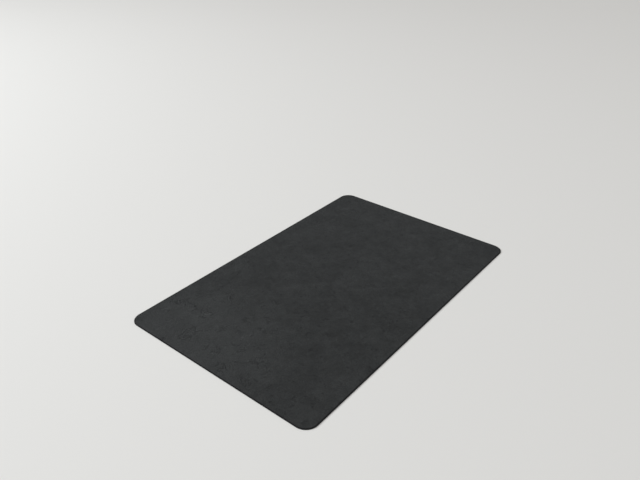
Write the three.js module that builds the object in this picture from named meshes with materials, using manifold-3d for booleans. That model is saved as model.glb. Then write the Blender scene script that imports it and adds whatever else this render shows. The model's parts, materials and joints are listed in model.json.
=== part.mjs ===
// Chair mat for hard floors: a charcoal felt face laminated to a ribbed rubber backing.
//
// Millimetres, +Z up. The origin is the centre of the underside, +X runs along the long
// side and +Y along the short side. Four flat layers are bonded into one stack and cut
// together, so they share one outline and their cut edges are flush. From the floor up:
//
//   rubber_backing      ribbed underneath, so that it grips the floor
//   stabilising_fleece  a thin glass fleece that keeps the mat flat and its edges straight
//   bonding_film        the hot-melt film that holds the felt down
//   felt_face           the needle-punched felt that the casters roll on

import * as THREE from 'three';
import { mergeVertices } from 'three/addons/utils/BufferGeometryUtils.js';
import Module from 'manifold-3d';

const wasm = await Module();
wasm.setup();

// Driving dimensions of the outline.
const MAT_LENGTH = 1400;
const MAT_WIDTH = 900;
const CORNER_RADIUS = 50;
const CORNER_SEGMENTS = 20;

// Layer thicknesses. Each is a whole number of eighths of a millimetre, which 32-bit
// numbers hold exactly, so two layers that meet share one plane and never overlap.
const RUBBER_THICKNESS = 1;
const FLEECE_THICKNESS = 0.25;
const FILM_THICKNESS = 0.125;
const FELT_THICKNESS = 1.625;

// Heights of the planes where the layers meet.
const FLEECE_BASE = RUBBER_THICKNESS;
const FILM_BASE = FLEECE_BASE + FLEECE_THICKNESS;
const FELT_BASE = FILM_BASE + FILM_THICKNESS;
const MAT_THICKNESS = FELT_BASE + FELT_THICKNESS;

// The hot cutting die presses a narrow rim into the felt, all the way round.
const RIM_WIDTH = 4;
const RIM_SINK = 0.375;
const RIM_SLOPE = 1.5;
const EDGE_ROLL = 0.5;
const ROLL_SEGMENTS = 3;

// Grip pattern under the rubber: parallel grooves along X, with a plain border round them.
const GRIP_BORDER = 16;
const GROOVE_PITCH = 12;
const GROOVE_MOUTH = 4;
const GROOVE_FLOOR = 3;
const GROOVE_DEPTH = 0.375;

// The mat's outline, moved in by an inset. The corner arcs keep their centres.
function matOutline(inset) {
  const radius = CORNER_RADIUS - inset;
  const centreX = MAT_LENGTH / 2 - CORNER_RADIUS;
  const centreY = MAT_WIDTH / 2 - CORNER_RADIUS;
  const quarterTurn = Math.PI / 2;
  const outline = new THREE.Shape();
  outline.absarc(centreX, centreY, radius, 0, quarterTurn);
  outline.absarc(-centreX, centreY, radius, quarterTurn, 2 * quarterTurn);
  outline.absarc(-centreX, -centreY, radius, 2 * quarterTurn, 3 * quarterTurn);
  outline.absarc(centreX, -centreY, radius, 3 * quarterTurn, 4 * quarterTurn);
  outline.closePath();
  return outline;
}

// A plain slab of the mat's outline between two heights, with square edges.
function plainSlab(inset, bottom, top) {
  const slab = new THREE.ExtrudeGeometry(matOutline(inset), {
    depth: top - bottom,
    bevelEnabled: false,
    curveSegments: CORNER_SEGMENTS / 2,
  });
  return slab.translate(0, 0, bottom);
}

// A slab whose top and bottom edges curve in by `reach` over a height of `drop`.
function rolledSlab(inset, bottom, top, drop, reach) {
  const slab = new THREE.ExtrudeGeometry(matOutline(inset), {
    depth: top - bottom - 2 * drop,
    bevelEnabled: true,
    bevelThickness: drop,
    bevelSize: reach,
    bevelOffset: -reach,
    bevelSegments: ROLL_SEGMENTS,
    curveSegments: CORNER_SEGMENTS / 2,
  });
  return slab.translate(0, 0, bottom + drop);
}

// Turns a closed geometry into a solid that can be joined and cut.
function toSolid(geometry) {
  const bare = geometry.clone();
  bare.deleteAttribute('normal');
  bare.deleteAttribute('uv');
  const merged = mergeVertices(bare);
  return new wasm.Manifold(new wasm.Mesh({
    numProp: 3,
    vertProperties: merged.attributes.position.array,
    triVerts: merged.index.array,
  }));
}

// Turns a solid back into a geometry for a mesh.
function toGeometry(solid) {
  const mesh = solid.getMesh();
  const geometry = new THREE.BufferGeometry();
  geometry.setAttribute('position', new THREE.BufferAttribute(mesh.vertProperties, mesh.numProp));
  geometry.setIndex(new THREE.BufferAttribute(mesh.triVerts, 1));
  geometry.computeVertexNormals();
  return geometry;
}

// A slab that is square at the bottom and rolled over at the top only.
function topRolledSolid(inset, bottom, top, drop, reach) {
  const rolled = toSolid(rolledSlab(inset, bottom, top, drop, reach));
  const square = toSolid(plainSlab(inset, bottom, top - drop));
  return rolled.add(square);
}

// The felt: a full field that steps down to the pressed rim at its edge.
function feltGeometry() {
  const rimTop = MAT_THICKNESS - RIM_SINK;
  const rim = topRolledSolid(0, FELT_BASE, rimTop, EDGE_ROLL, EDGE_ROLL);
  const field = topRolledSolid(RIM_WIDTH, FELT_BASE, MAT_THICKNESS, RIM_SINK, RIM_SLOPE);
  return toGeometry(rim.add(field));
}

// Half the length of the groove whose outer side is `reach` from the mat's middle line.
// Beside a corner the groove is shorter, so that the border keeps its width.
function grooveHalfLength(reach) {
  const centreX = MAT_LENGTH / 2 - CORNER_RADIUS;
  const centreY = MAT_WIDTH / 2 - CORNER_RADIUS;
  const borderRadius = CORNER_RADIUS - GRIP_BORDER;
  const pastCentre = Math.max(reach - centreY, 0);
  return centreX + Math.sqrt(borderRadius ** 2 - pastCentre ** 2);
}

// The bar that cuts one groove. Its sides slope, and it reaches below the rubber.
function grooveCutter(y) {
  const halfFloor = GROOVE_FLOOR / 2;
  const halfMouth = GROOVE_MOUTH / 2;
  const halfFoot = 2 * halfMouth - halfFloor;
  const section = new THREE.Shape([
    new THREE.Vector2(GROOVE_DEPTH, -halfFloor),
    new THREE.Vector2(GROOVE_DEPTH, halfFloor),
    new THREE.Vector2(-GROOVE_DEPTH, halfFoot),
    new THREE.Vector2(-GROOVE_DEPTH, -halfFoot),
  ]);
  const halfLength = grooveHalfLength(Math.abs(y) + halfMouth);
  const bar = new THREE.ExtrudeGeometry(section, { depth: 2 * halfLength, bevelEnabled: false });
  bar.rotateY(-Math.PI / 2);
  bar.rotateZ(Math.PI);
  return bar.translate(-halfLength, y, 0);
}

// The rubber: a slab with grooves cut in its underside, equally spaced from the middle rib.
function rubberGeometry() {
  const outermost = MAT_WIDTH / 2 - GRIP_BORDER - GROOVE_MOUTH / 2;
  let rubber = toSolid(plainSlab(0, 0, RUBBER_THICKNESS));
  for (let y = GROOVE_PITCH / 2; y <= outermost; y += GROOVE_PITCH) {
    rubber = rubber.subtract(toSolid(grooveCutter(y)));
    rubber = rubber.subtract(toSolid(grooveCutter(-y)));
  }
  return toGeometry(rubber);
}

const felt = new THREE.MeshStandardMaterial({ color: 0x2c2d2d, roughness: 0.9, metalness: 0 });
const film = new THREE.MeshStandardMaterial({ color: 0x4b4a47, roughness: 0.5, metalness: 0 });
const fleece = new THREE.MeshStandardMaterial({ color: 0x606060, roughness: 0.9, metalness: 0 });
const rubber = new THREE.MeshStandardMaterial({ color: 0x1f1f20, roughness: 0.7, metalness: 0 });

// Adds one named layer to the mat.
function addLayer(group, name, geometry, material) {
  const layer = new THREE.Mesh(geometry, material);
  layer.name = name;
  group.add(layer);
}

const mat = new THREE.Group();
addLayer(mat, 'rubber_backing', rubberGeometry(), rubber);
addLayer(mat, 'stabilising_fleece', plainSlab(0, FLEECE_BASE, FILM_BASE), fleece);
addLayer(mat, 'bonding_film', plainSlab(0, FILM_BASE, FELT_BASE), film);
addLayer(mat, 'felt_face', feltGeometry(), felt);

export default mat;
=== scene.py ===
"""Looks for a chair mat: charcoal felt on a ribbed rubber backing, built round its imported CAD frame.

Metres, +Z up, in the CAD's own frame. The felt, the bonding film and the glass fleece are rebuilt
here as fine meshes, because their fibres, dents and ragged cut edges are what the eye sees. The
rubber backing keeps its CAD shape and takes a new material.
"""

import json
import math

import bpy
import numpy as np
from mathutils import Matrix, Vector, noise


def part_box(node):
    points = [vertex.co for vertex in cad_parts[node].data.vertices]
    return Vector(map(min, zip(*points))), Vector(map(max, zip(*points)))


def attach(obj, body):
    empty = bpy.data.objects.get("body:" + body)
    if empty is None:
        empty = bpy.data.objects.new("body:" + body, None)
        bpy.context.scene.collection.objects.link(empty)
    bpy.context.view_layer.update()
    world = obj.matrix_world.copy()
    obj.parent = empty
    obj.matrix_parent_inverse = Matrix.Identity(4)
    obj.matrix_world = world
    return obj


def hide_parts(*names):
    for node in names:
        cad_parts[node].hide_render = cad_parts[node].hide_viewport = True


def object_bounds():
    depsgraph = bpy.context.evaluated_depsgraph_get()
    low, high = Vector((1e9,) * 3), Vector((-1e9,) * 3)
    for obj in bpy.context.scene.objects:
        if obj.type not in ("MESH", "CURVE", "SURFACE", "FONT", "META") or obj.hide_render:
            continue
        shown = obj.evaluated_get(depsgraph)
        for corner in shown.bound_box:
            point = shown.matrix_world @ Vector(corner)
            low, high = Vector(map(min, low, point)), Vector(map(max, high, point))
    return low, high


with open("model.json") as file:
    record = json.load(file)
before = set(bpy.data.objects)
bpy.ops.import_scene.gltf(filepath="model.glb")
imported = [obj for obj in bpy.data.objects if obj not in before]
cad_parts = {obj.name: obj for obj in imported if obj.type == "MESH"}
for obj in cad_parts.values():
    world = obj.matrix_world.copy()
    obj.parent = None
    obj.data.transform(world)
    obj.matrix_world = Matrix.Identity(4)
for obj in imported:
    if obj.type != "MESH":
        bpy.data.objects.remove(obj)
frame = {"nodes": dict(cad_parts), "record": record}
CAD_LOW, CAD_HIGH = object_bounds()

MM = 0.001
SLOT_COLOURS = {m["slot"]: m["base_color"] for m in frame["record"]["materials"]}

# The outline, from the frame and the corner radius that the CAD gives it.
CORNER_RADIUS = 50 * MM
CENTRE_X = CAD_HIGH.x - CORNER_RADIUS
CENTRE_Y = CAD_HIGH.y - CORNER_RADIUS

# The felt's pressed rim, as the CAD has it.
RIM_WIDTH = 4 * MM
RIM_SLOPE = 1.5 * MM
RIM_SINK = 0.375 * MM
EDGE_ROLL = 0.5 * MM

# How finely the meshes are divided. One extra ring of points runs along the flat of the rim.
FELT_PITCH = 4.1 * MM
EDGE_PITCH = 6 * MM
CORNER_STEPS = 20
SLOPE_STEPS = 3
ROLL_STEPS = 3
RIM_RING = 0.55 * RIM_WIDTH

# The soft dents all over the felt's face: the size of each kind, and how deep it goes.
DENT_SIZES = (90 * MM, 34 * MM, 16 * MM)
DENT_DEPTHS = (0.12 * MM, 0.11 * MM, 0.08 * MM)
RELIEF_FADE = 20 * MM

# The worn patch at the left end, which also takes a painted sheen. Its dents are deeper, by this
# share, than elsewhere.
WEAR_AND_SHEEN_CENTRE = Vector((-0.62, 0.16))
WEAR_AND_SHEEN_REACH = Vector((0.50, 0.60))
WORN_DENTS = 0.8

# The short folds. They run where one noise is near 0, and only where a second one is high.
# Away from the worn patch they keep a small share of their depth.
FOLD_SIZE = 56 * MM
FOLD_PATCH_SIZE = 0.9 * FOLD_SIZE
FOLD_DEPTH = 0.70 * MM
FOLD_BAND = 0.11
FOLD_PATCH_RANGE = (0.05, 0.25)
FOLDS_ELSEWHERE = 0.12

# Each noise over the face is cut at its own height, so that no two are alike.
DENT_SEED_STEP = 7.3
FOLD_SEED = 31.0
FOLD_PATCH_SEED = 47.0

# How far each cut edge wanders in from the true outline, and the two noises that steer it.
FELT_RAG = 0.20 * MM
FLEECE_RAG = 0.25 * MM
FILM_RAG = 0.15 * MM
RAG_SIZES = (9 * MM, 1.7 * MM)
RAG_SHARES = (0.45, 0.35)

# The rubber's CAD facets each have corners of their own. Corners this close are one corner.
FACET_JOIN = 0.001 * MM


# ---- shapes -------------------------------------------------------------------------------


def smooth_step(value):
    """0 below 0 and 1 above 1, with a smooth S between."""
    held = min(max(value, 0.0), 1.0)
    return held * held * (3 - 2 * held)


def evenly(start, stop, pitch):
    """Numbers from start to stop, both included, no further apart than pitch."""
    return np.linspace(start, stop, math.ceil(abs(stop - start) / pitch) + 1)


def past_centres(x, y):
    """How far a point lies past the corner arcs' centres, along X and along Y."""
    return max(abs(x) - CENTRE_X, 0.0), max(abs(y) - CENTRE_Y, 0.0)


def outward(x, y):
    """The direction square to the outline from a point on it."""
    past_x, past_y = past_centres(x, y)
    return Vector((math.copysign(past_x, x), math.copysign(past_y, y))).normalized()


def inside_distance(x, y):
    """How far a point of the mat is in from its outline."""
    past = math.hypot(*past_centres(x, y))
    if past > 0:
        return CORNER_RADIUS - past
    return min(CAD_HIGH.x - abs(x), CAD_HIGH.y - abs(y))


def row_heights(radius, pitch):
    """The Y of each row of a rounded rectangle's grid. Rows crowd together round the corners."""
    turn = np.linspace(0, math.pi / 2, CORNER_STEPS + 1)
    corner = CENTRE_Y + radius * np.sin(turn)
    middle = evenly(-CENTRE_Y, CENTRE_Y, pitch)
    return np.concatenate([-corner[:0:-1], middle, corner[1:]])


def row_reach(y, radius):
    """How far a row at Y runs from the middle line, along X."""
    past_centre = max(abs(y) - CENTRE_Y, 0.0)
    return CENTRE_X + math.sqrt(max(radius**2 - past_centre**2, 0.0))


def grid_points(inset, pitch):
    """Rows of (x, y) points that fill the outline, moved in by inset."""
    radius = CORNER_RADIUS - inset
    columns = len(evenly(-CAD_HIGH.x, CAD_HIGH.x, pitch))
    rows = []
    for y in row_heights(radius, pitch):
        reach = row_reach(y, radius)
        rows.append([(x, y) for x in np.linspace(-reach, reach, columns)])
    return rows


def grid_faces(rows, columns):
    """The faces between the points of a grid."""
    corners = [row * columns + column for row in range(rows - 1) for column in range(columns - 1)]
    return [(k, k + 1, k + columns + 1, k + columns) for k in corners]


def rim_loop(rows, columns):
    """The grid's outer points, as indices, anticlockwise seen from above."""
    count = rows * columns
    south = list(range(columns))
    east = list(range(2 * columns - 1, count, columns))
    north = list(range(count - 2, count - columns - 1, -1))
    west = list(range(count - 2 * columns, 0, -columns))
    return south + east + north + west


def band_faces(inner, outer):
    """The faces that join a loop of points to the next loop round it."""
    inner_next = inner[1:] + inner[:1]
    outer_next = outer[1:] + outer[:1]
    return list(zip(inner, outer, outer_next, inner_next))


def make_piece(name, points, faces, smooth=True):
    """A mesh object from points and faces."""
    mesh = bpy.data.meshes.new(name)
    mesh.from_pydata(points, [], faces)
    mesh.validate()
    if smooth:
        mesh.shade_smooth()
    else:
        mesh.shade_flat()
    piece = bpy.data.objects.new(name, mesh)
    bpy.context.scene.collection.objects.link(piece)
    return piece


def store_on_mesh(piece, name, measure):
    """Keeps a measure of each point on the mesh, for the material to read."""
    values = [measure(vertex.co.x, vertex.co.y) for vertex in piece.data.vertices]
    attribute = piece.data.attributes.new(name, "FLOAT", "POINT")
    attribute.data.foreach_set("value", np.array(values, np.float32))


# ---- the felt's surface -------------------------------------------------------------------


def face_noise(x, y, size, seed):
    """Smooth noise over the face, whose swings are about `size` across. From -1 to 1."""
    return noise.noise(Vector((x / size, y / size, seed)))


def wear_and_sheen(x, y):
    """How worn the felt is at a point, and how much painted sheen it takes: 1 in the middle of the
    worn patch, falling to 0 round it.
    """
    along = (x - WEAR_AND_SHEEN_CENTRE.x) / WEAR_AND_SHEEN_REACH.x
    across = (y - WEAR_AND_SHEEN_CENTRE.y) / WEAR_AND_SHEEN_REACH.y
    return 1.0 - smooth_step(math.hypot(along, across))


def pressed_and_shaded(x, y):
    """How hard the felt was pressed down at a point, which also sets where shade is painted along the
    edge: 1 on the rim, falling to 0 at the field.
    """
    return 1.0 - smooth_step((inside_distance(x, y) - RIM_WIDTH) / RIM_SLOPE)


def fold(x, y):
    """A short sharp-bottomed fold: 1 along its line, 0 away from it and between folds."""
    bend = face_noise(x, y, FOLD_SIZE, FOLD_SEED)
    patch = face_noise(x, y, FOLD_PATCH_SIZE, FOLD_PATCH_SEED)
    patch_start, patch_full = FOLD_PATCH_RANGE
    in_patch = smooth_step((patch - patch_start) / (patch_full - patch_start))
    return smooth_step(1 - abs(bend) / FOLD_BAND) * in_patch


def face_relief(x, y):
    """How far the felt's face sinks at a point: soft dents of several sizes, and the folds."""
    wear_and_sheen_share = wear_and_sheen(x, y)
    fold_share = FOLDS_ELSEWHERE + (1 - FOLDS_ELSEWHERE) * wear_and_sheen_share
    sink = FOLD_DEPTH * fold(x, y) * fold_share
    for layer, (size, depth) in enumerate(zip(DENT_SIZES, DENT_DEPTHS)):
        dent = (1 + face_noise(x, y, size, layer * DENT_SEED_STEP)) / 2
        sink += depth * dent * (1 + WORN_DENTS * wear_and_sheen_share)
    return sink * smooth_step(inside_distance(x, y) / RELIEF_FADE)


def rag(x, y, z, amount):
    """How far the cut edge wanders in at a point. Never outwards."""
    place = Vector((x, y, z))
    wander = 0.5
    for size, share in zip(RAG_SIZES, RAG_SHARES):
        wander += share * noise.noise(place / size)
    return amount * min(max(wander, 0.0), 1.0)


# ---- the rebuilt layers -------------------------------------------------------------------


def felt_profile(base, top):
    """The felt's edge in section, from the field out and down: (inset, height) pairs."""
    rim_top = top - RIM_SINK
    slope = []
    for share in np.linspace(0, 1, SLOPE_STEPS + 1)[1:]:
        slope.append((RIM_WIDTH + RIM_SLOPE * (1 - share), top - RIM_SINK * smooth_step(share)))
    flat = [(RIM_RING, rim_top), (EDGE_ROLL, rim_top)]
    roll = []
    for turn in np.linspace(0, math.pi / 2, ROLL_STEPS + 1)[1:]:
        roll.append((EDGE_ROLL * (1 - math.sin(turn)), rim_top - EDGE_ROLL * (1 - math.cos(turn))))
    roll_foot = rim_top - EDGE_ROLL
    side = [(0.0, (base + roll_foot) / 2), (0.0, base)]
    return slope + flat + roll + side


def felt_cloth():
    """The felt: a dented face, a pressed rim with a rolled edge, and a ragged cut side."""
    low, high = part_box("felt_face")
    field_inset = RIM_WIDTH + RIM_SLOPE
    grid = grid_points(field_inset, FELT_PITCH)
    rows, columns = len(grid), len(grid[0])
    points = [(x, y, high.z - face_relief(x, y)) for row in grid for x, y in row]
    faces = grid_faces(rows, columns)
    field_edge = rim_loop(rows, columns)
    ring = field_edge
    for inset, z in felt_profile(low.z, high.z):
        looseness = smooth_step((RIM_WIDTH - inset) / RIM_WIDTH)
        start = len(points)
        for k in field_edge:
            x, y, _ = points[k]
            step = field_inset - inset - looseness * rag(x, y, z, FELT_RAG)
            away = outward(x, y) * step
            points.append((x + away.x, y + away.y, z))
        next_ring = list(range(start, len(points)))
        faces += band_faces(ring, next_ring)
        ring = next_ring
    faces.append(tuple(reversed(ring)))
    piece = make_piece("felt_cloth", points, faces)
    store_on_mesh(piece, "pressed_and_shaded", pressed_and_shaded)
    store_on_mesh(piece, "wear_and_sheen", wear_and_sheen)
    return piece


def thin_sheet(name, node, amount):
    """A thin flat layer with square edges and a ragged outline, in the space of a CAD node."""
    low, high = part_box(node)
    grid = grid_points(0.0, EDGE_PITCH)
    flat = [point for row in grid for point in row]
    outline = [flat[k] for k in rim_loop(len(grid), len(grid[0]))]
    points = []
    for z in (low.z, high.z):
        for x, y in outline:
            inward = outward(x, y) * rag(x, y, z, amount)
            points.append((x - inward.x, y - inward.y, z))
    bottom = list(range(len(outline)))
    top = list(range(len(outline), len(points)))
    faces = band_faces(top, bottom)
    faces.append(tuple(reversed(bottom)))
    faces.append(tuple(top))
    return make_piece(name, points, faces, smooth=False)


# ---- materials ----------------------------------------------------------------------------

# Nearly all of a noise texture's values lie between these two.
NOISE_LOW = 0.30
NOISE_HIGH = 0.70

# The fibres. In the felt and the fleece alike they lie in four directions, in degrees.
FELT_FIBRE = {"length": 7.0 * MM, "width": 0.35 * MM}
FLEECE_FIBRE = {"length": 6.0 * MM, "width": 0.15 * MM}
FIBRE_TURNS = (8, 53, 97, 141)

# How each mark changes the felt's shade. A shade of 1 leaves the colour as it is.
GAP_SHADE = 0.78
FIBRE_SHADE = 1.34
SPOT_SHADE = 0.60
FLECK_SHADE = 1.28
# Painted sheen at the left end, in the worn patch.
LEFT_END_PAINTED_SHEEN = 1.34
# Painted shade in the creases, and a painted highlight on the ridges beside them.
CREASE_PAINTED_SHADE = 0.70
RIDGE_PAINTED_HIGHLIGHT = 1.16
# The pressed rim is truly darker, and this also paints shade along the rim and the cut side.
PRESSED_RIM_AND_PAINTED_SHADE = 0.36

# How much of the felt's mottling is left in the middle of the worn patch.
WORN_MOTTLING = 0.45

# How far each kind of relief seems to rise or sink.
CREASE_DEPTH = 0.7 * MM
CLUMP_DEPTH = 0.3 * MM
FIBRE_DEPTH = 0.15 * MM


class Shader:
    """A node material that is written down as a few short steps."""

    def __init__(self, name, slot):
        self.material = bpy.data.materials.new(name)
        self.material.use_nodes = True
        self.tree = self.material.node_tree
        self.tree.nodes.clear()
        self.colour = SLOT_COLOURS[slot]
        self.surface = self.tree.nodes.new("ShaderNodeBsdfPrincipled")
        output = self.tree.nodes.new("ShaderNodeOutputMaterial")
        self.join(self.surface.outputs["BSDF"], output.inputs["Surface"])
        place = self.tree.nodes.new("ShaderNodeTexCoord")
        self.place = place.outputs["Object"]

    def join(self, source, target):
        """Feeds a socket from another socket, or sets it to a plain value."""
        if isinstance(source, bpy.types.NodeSocket):
            self.tree.links.new(source, target)
        else:
            target.default_value = source

    def stretched(self, stretch, turn):
        """The place to read a pattern at, so that it comes out stretched and turned about Z."""
        mapping = self.tree.nodes.new("ShaderNodeMapping")
        mapping.vector_type = "TEXTURE"
        self.join(self.place, mapping.inputs["Vector"])
        mapping.inputs["Rotation"].default_value = (0, 0, math.radians(turn))
        mapping.inputs["Scale"].default_value = stretch
        return mapping.outputs["Vector"]

    def noise(self, size, detail=2.0, roughness=0.5, distortion=0.0, place=None):
        """Cloudy noise whose patches are about `size` metres across, from 0 to 1."""
        node = self.tree.nodes.new("ShaderNodeTexNoise")
        self.join(self.place if place is None else place, node.inputs["Vector"])
        node.inputs["Scale"].default_value = 1 / size
        node.inputs["Detail"].default_value = detail
        node.inputs["Roughness"].default_value = roughness
        node.inputs["Distortion"].default_value = distortion
        return node.outputs["Fac"]

    def cells(self, size):
        """Distance to the nearest of many scattered points, where 1 is about `size` metres."""
        node = self.tree.nodes.new("ShaderNodeTexVoronoi")
        self.join(self.place, node.inputs["Vector"])
        node.inputs["Scale"].default_value = 1 / size
        return node.outputs["Distance"]

    def attribute(self, name):
        """A value stored on the mesh."""
        node = self.tree.nodes.new("ShaderNodeAttribute")
        node.attribute_name = name
        return node.outputs["Fac"]

    def remap(self, value, low, high, new_low, new_high):
        """Turns the range low..high into new_low..new_high, smoothly and held at both ends."""
        node = self.tree.nodes.new("ShaderNodeMapRange")
        node.interpolation_type = "SMOOTHSTEP"
        self.join(value, node.inputs["Value"])
        node.inputs["From Min"].default_value = low
        node.inputs["From Max"].default_value = high
        node.inputs["To Min"].default_value = new_low
        node.inputs["To Max"].default_value = new_high
        return node.outputs["Result"]

    def cloudy(self, noise_value, new_low, new_high):
        """Spreads the whole swing of a noise over new_low..new_high."""
        return self.remap(noise_value, NOISE_LOW, NOISE_HIGH, new_low, new_high)

    def where(self, mask, shade):
        """A shade of 1 that turns into `shade` where the mask is 1."""
        return self.remap(mask, 0.0, 1.0, 1.0, shade)

    def mottle(self, size, spread, **texture):
        """Cloudy noise as a shade that swings by `spread` either side of 1."""
        return self.cloudy(self.noise(size, **texture), 1 - spread, 1 + spread)

    def calculate(self, operation, first, second):
        """One sum on two values."""
        node = self.tree.nodes.new("ShaderNodeMath")
        node.operation = operation
        self.join(first, node.inputs[0])
        self.join(second, node.inputs[1])
        return node.outputs[0]

    def product(self, *values):
        """All the values multiplied together."""
        result = values[0]
        for value in values[1:]:
            result = self.calculate("MULTIPLY", result, value)
        return result

    def band(self, value, middle, reach):
        """1 where a value is at the middle of a band, falling to 0 at its edges."""
        above = self.calculate("SUBTRACT", value, middle)
        return self.remap(self.calculate("ABSOLUTE", above, 0.0), 0.0, reach, 1.0, 0.0)

    def calmed(self, shade, strength):
        """A shade pulled in towards 1. Where strength is 1 it stays as it is."""
        contrast = self.calculate("SUBTRACT", shade, 1.0)
        return self.calculate("ADD", self.calculate("MULTIPLY", contrast, strength), 1.0)

    def tinted(self, shade):
        """The slot's colour scaled by a value."""
        node = self.tree.nodes.new("ShaderNodeVectorMath")
        node.operation = "SCALE"
        node.inputs[0].default_value = self.colour[:3]
        self.join(shade, node.inputs["Scale"])
        return node.outputs["Vector"]

    def bump(self, height, depth, under=None):
        """Bends the light as if the surface rose by `depth` metres where height is 1."""
        node = self.tree.nodes.new("ShaderNodeBump")
        node.inputs["Distance"].default_value = depth
        self.join(height, node.inputs["Height"])
        if under is not None:
            self.join(under, node.inputs["Normal"])
        return node.outputs["Normal"]

    def finish(self, shade, roughness, normal, plain_values):
        """Feeds the surface. Plain values are set on the shader's own sockets."""
        self.join(self.tinted(shade), self.surface.inputs["Base Color"])
        self.join(roughness, self.surface.inputs["Roughness"])
        self.join(normal, self.surface.inputs["Normal"])
        for socket, value in plain_values.items():
            self.surface.inputs[socket].default_value = value
        return self.material


def fibre_web(shader, length, width):
    """A tangle of fine fibres: 1 along each fibre, 0 in the gaps, lying in four directions."""
    web = 0.0
    for turn in FIBRE_TURNS:
        place = shader.stretched((length / width, 1, 1), turn)
        strand = shader.noise(width, detail=1.0, distortion=0.5, place=place)
        web = shader.calculate("MAXIMUM", web, shader.remap(strand, 0.55, 0.66, 0.0, 1.0))
    return web


def felt_creases(felt, wear_and_sheen_share):
    """Broken creases in the worn patch, and the ridges beside them: each 1 along its line. Shade is
    painted in the creases and a highlight on the ridges.
    """
    bend = felt.noise(44 * MM, detail=3.0, roughness=0.6, distortion=0.8)
    patch = felt.remap(felt.noise(58 * MM), 0.50, 0.57, 0.0, 1.0)
    place = felt.product(patch, felt.remap(wear_and_sheen_share, 0.0, 0.6, 0.0, 1.0))
    crease = felt.product(felt.band(bend, 0.50, 0.045), place)
    crease_ridge = felt.product(felt.band(bend, 0.56, 0.035), place)
    return crease, crease_ridge


def felt_marks(felt, wear_and_sheen_share):
    """The felt's uneven shade, from broad clouds to small flecks. Worn felt is more even."""
    clouds = felt.mottle(160 * MM, 0.09)
    patches = felt.mottle(62 * MM, 0.09, detail=3.0)
    mottles = felt.mottle(27 * MM, 0.11, detail=4.0, roughness=0.62, distortion=0.5)
    spots = felt.remap(felt.noise(24 * MM, distortion=1.4), 0.61, 0.72, 1.0, SPOT_SHADE)
    flecks = felt.remap(felt.noise(11 * MM, distortion=1.2), 0.60, 0.74, 1.0, FLECK_SHADE)
    marks = felt.product(clouds, patches, mottles, spots, flecks)
    return felt.calmed(marks, felt.remap(wear_and_sheen_share, 0.0, 0.8, 1.0, WORN_MOTTLING))


def felt_material():
    """Needle-punched charcoal polyester: mottled, fibrous and matt, darker where it is pressed. Its
    colour also holds painted light: a painted sheen at the left end, painted shade in the creases, a
    painted highlight on the ridges beside them, and painted shade along the rim and cut side.
    """
    felt = Shader("charcoal_needle_felt", "charcoal_felt")
    wear_and_sheen_share = felt.attribute("wear_and_sheen")
    crease, crease_ridge = felt_creases(felt, wear_and_sheen_share)
    fibres = fibre_web(felt, **FELT_FIBRE)
    shade = felt.product(
        felt_marks(felt, wear_and_sheen_share),
        felt.mottle(2.2 * MM, 0.20, roughness=0.7),
        felt.remap(fibres, 0.0, 1.0, GAP_SHADE, FIBRE_SHADE),
        # Painted sheen: the left end is lighter, as if it caught the window light.
        felt.remap(wear_and_sheen_share, 0.0, 0.9, 1.0, LEFT_END_PAINTED_SHEEN),
        # Painted shade in the creases, and a painted highlight on the ridges beside them.
        felt.where(crease, CREASE_PAINTED_SHADE),
        felt.where(crease_ridge, RIDGE_PAINTED_HIGHLIGHT),
        # Darker pressed rim, with painted shade along the rim and the cut side.
        felt.where(felt.attribute("pressed_and_shaded"), PRESSED_RIM_AND_PAINTED_SHADE))
    roughness = felt.cloudy(felt.noise(5 * MM, detail=3.0), 0.80, 0.94)
    hollows = felt.bump(felt.calculate("SUBTRACT", crease_ridge, crease), CREASE_DEPTH)
    clump_noise = felt.noise(7 * MM, detail=3.0, distortion=0.6)
    clumps = felt.bump(clump_noise, CLUMP_DEPTH, under=hollows)
    normal = felt.bump(fibres, FIBRE_DEPTH, under=clumps)
    return felt.finish(shade, roughness, normal, {
        "Specular IOR Level": 0.12,
        "Sheen Weight": 0.03,
        "Sheen Roughness": 0.5,
        "Sheen Tint": (0.82, 0.86, 0.92, 1.0),
    })


def rubber_material():
    """Moulded black rubber: fine pebbling, a faint grey bloom and pale specks."""
    rubber = Shader("pebbled_black_rubber", "black_rubber")
    bloom = rubber.remap(rubber.noise(60 * MM, detail=3.0), 0.40, 0.75, 0.92, 1.28)
    specks = rubber.remap(rubber.noise(1.1 * MM, detail=1.0), 0.66, 0.72, 1.0, 2.1)
    roughness = rubber.cloudy(rubber.noise(25 * MM, detail=4.0), 0.60, 0.72)
    pebbles = rubber.remap(rubber.cells(0.9 * MM), 0.0, 0.7, 1.0, 0.0)
    normal = rubber.bump(pebbles, 0.06 * MM)
    return rubber.finish(rubber.product(bloom, specks), roughness, normal,
                         {"Specular IOR Level": 0.45})


def fleece_material():
    """Non-woven glass fleece: pale short fibres on a darker binder."""
    fleece = Shader("glass_fleece_fibres", "glass_fleece")
    fibres = fibre_web(fleece, **FLEECE_FIBRE)
    clouds = fleece.mottle(18 * MM, 0.15, detail=3.0)
    shade = fleece.product(clouds, fleece.remap(fibres, 0.0, 1.0, 0.75, 1.45))
    roughness = fleece.remap(fibres, 0.0, 1.0, 0.95, 0.7)
    normal = fleece.bump(fibres, 0.05 * MM)
    return fleece.finish(shade, roughness, normal, {})


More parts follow.
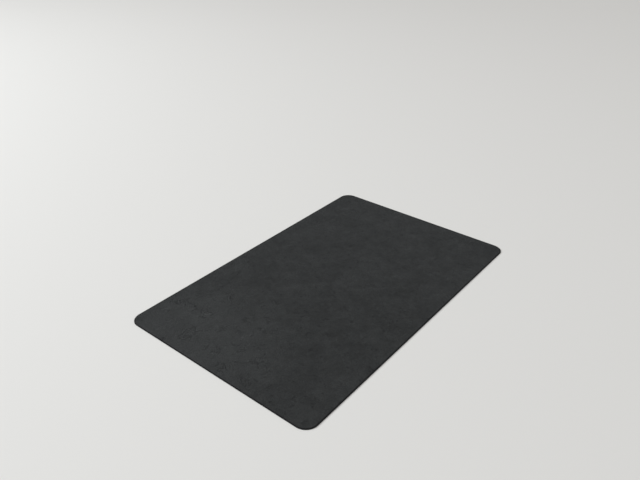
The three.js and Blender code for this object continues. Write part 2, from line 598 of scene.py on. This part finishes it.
def film_material():
    """Set hot-melt film: smoky, satin, with a slow ripple and small trapped bubbles."""
    film = Shader("smoky_hot_melt", "hot_melt_film")
    ripple = film.noise(12 * MM)
    bubbles = film.remap(film.cells(3 * MM), 0.05, 0.12, 1.35, 1.0)
    shade = film.product(film.cloudy(ripple, 0.9, 1.1), bubbles)
    roughness = film.cloudy(ripple, 0.35, 0.6)
    normal = film.bump(ripple, 0.10 * MM)
    return film.finish(shade, roughness, normal, {})


# ---- the mat ------------------------------------------------------------------------------


def dress_rubber():
    """Gives the rubber's CAD node its new material, and joins its separate facets into one skin.
    Its shape stays as it is."""
    rubber = frame["nodes"]["rubber_backing"]
    rubber.data.materials.clear()
    rubber.data.materials.append(rubber_material())
    skin = rubber.modifiers.new("one_skin", "WELD")
    skin.merge_threshold = FACET_JOIN


def fit_layer(piece, material, node):
    """Gives a rebuilt layer its material and its body, and hides the CAD node it stands for."""
    piece.data.materials.append(material)
    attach(piece, "root")
    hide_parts(node)
    return piece


dress_rubber()
fleece_piece = fit_layer(thin_sheet("fleece_sheet", "stabilising_fleece", FLEECE_RAG),
                         fleece_material(), "stabilising_fleece")
film_piece = fit_layer(thin_sheet("film_sheet", "bonding_film", FILM_RAG),
                       film_material(), "bonding_film")
felt_piece = fit_layer(felt_cloth(), felt_material(), "felt_face")


# ---- floor, light and camera --------------------------------------------------------------

FLOOR_SIZE = 60.0
FLOOR_DROP = 0.05 * MM
FLOOR_COLOUR = (0.72, 0.71, 0.69, 1.0)
FLOOR_ROUGHNESS = 0.9
FLOOR_SHINE = 0.2

# A wide window light shines across the mat from beyond its back left corner.
WINDOW_PLACE = (-5.6, 8.0, 5.2)
WINDOW_AIM = (2.3, -3.9, -2.6)
WINDOW_SIZE = 4.8
WINDOW_POWER = 860.0
WINDOW_COLOUR = (0.92, 0.965, 1.0)

# Soft skylight comes much the same way, inside an even pale surround.
SKY_PLACE = (0, 0, 4)
SKY_AIM = (0.35, -0.93, -0.80)
SKY_SPREAD = math.radians(60)
SKY_POWER = 0.9
SKY_COLOUR = (1.0, 0.98, 0.95)
SURROUND_COLOUR = (1.0, 1.0, 1.0, 1.0)
SURROUND_STRENGTH = 0.52

# The camera looks down across the mat from beyond its near left corner.
CAMERA_EYE = Vector((-1.7264, -1.3276, 1.5039 + CAD_HIGH.z))
CAMERA_AIM = Vector((0.2312, 0.2551, CAD_HIGH.z))
CAMERA_LENS = 35.27
CAMERA_SENSOR = 36.0


def studio_floor():
    """A large plain pale floor, just clear of the ribs."""
    half = FLOOR_SIZE / 2
    z = CAD_LOW.z - FLOOR_DROP
    corners = [(-half, -half, z), (half, -half, z), (half, half, z), (-half, half, z)]
    floor = make_piece("studio_floor", corners, [(0, 1, 2, 3)])
    material = bpy.data.materials.new("plain_pale_floor")
    material.use_nodes = True
    surface = material.node_tree.nodes["Principled BSDF"]
    surface.inputs["Base Color"].default_value = FLOOR_COLOUR
    surface.inputs["Roughness"].default_value = FLOOR_ROUGHNESS
    surface.inputs["Specular IOR Level"].default_value = FLOOR_SHINE
    floor.data.materials.append(material)


def place_facing(name, data, place, direction):
    """Puts a lamp or camera at a place, facing along a direction."""
    thing = bpy.data.objects.new(name, data)
    thing.location = place
    thing.rotation_euler = Vector(direction).to_track_quat("-Z", "Y").to_euler()
    bpy.context.scene.collection.objects.link(thing)
    return thing


def window_light():
    """The wide light. The felt's left end and far side catch the most of it."""
    window = bpy.data.lights.new("window_light", "AREA")
    window.size = WINDOW_SIZE
    window.energy = WINDOW_POWER
    window.color = WINDOW_COLOUR
    place_facing("window_light", window, WINDOW_PLACE, WINDOW_AIM)


def skylight():
    """A sun so spread out that its shadows are only a soft shade."""
    sky = bpy.data.lights.new("skylight", "SUN")
    sky.angle = SKY_SPREAD
    sky.energy = SKY_POWER
    sky.color = SKY_COLOUR
    place_facing("skylight", sky, SKY_PLACE, SKY_AIM)


def pale_surround():
    """Even pale light from all round."""
    world = bpy.data.worlds.new("pale_surround")
    world.use_nodes = True
    background = world.node_tree.nodes["Background"]
    background.inputs["Color"].default_value = SURROUND_COLOUR
    background.inputs["Strength"].default_value = SURROUND_STRENGTH
    bpy.context.scene.world = world


def photo_camera():
    """The camera, at the photograph's viewing angle."""
    data = bpy.data.cameras.new("camera")
    data.sensor_width = CAMERA_SENSOR
    data.lens = CAMERA_LENS
    camera = place_facing("camera", data, CAMERA_EYE, CAMERA_AIM - CAMERA_EYE)
    bpy.context.scene.camera = camera


studio_floor()
window_light()
skylight()
pale_surround()
photo_camera()
bpy.context.scene.view_settings.view_transform = "Standard"
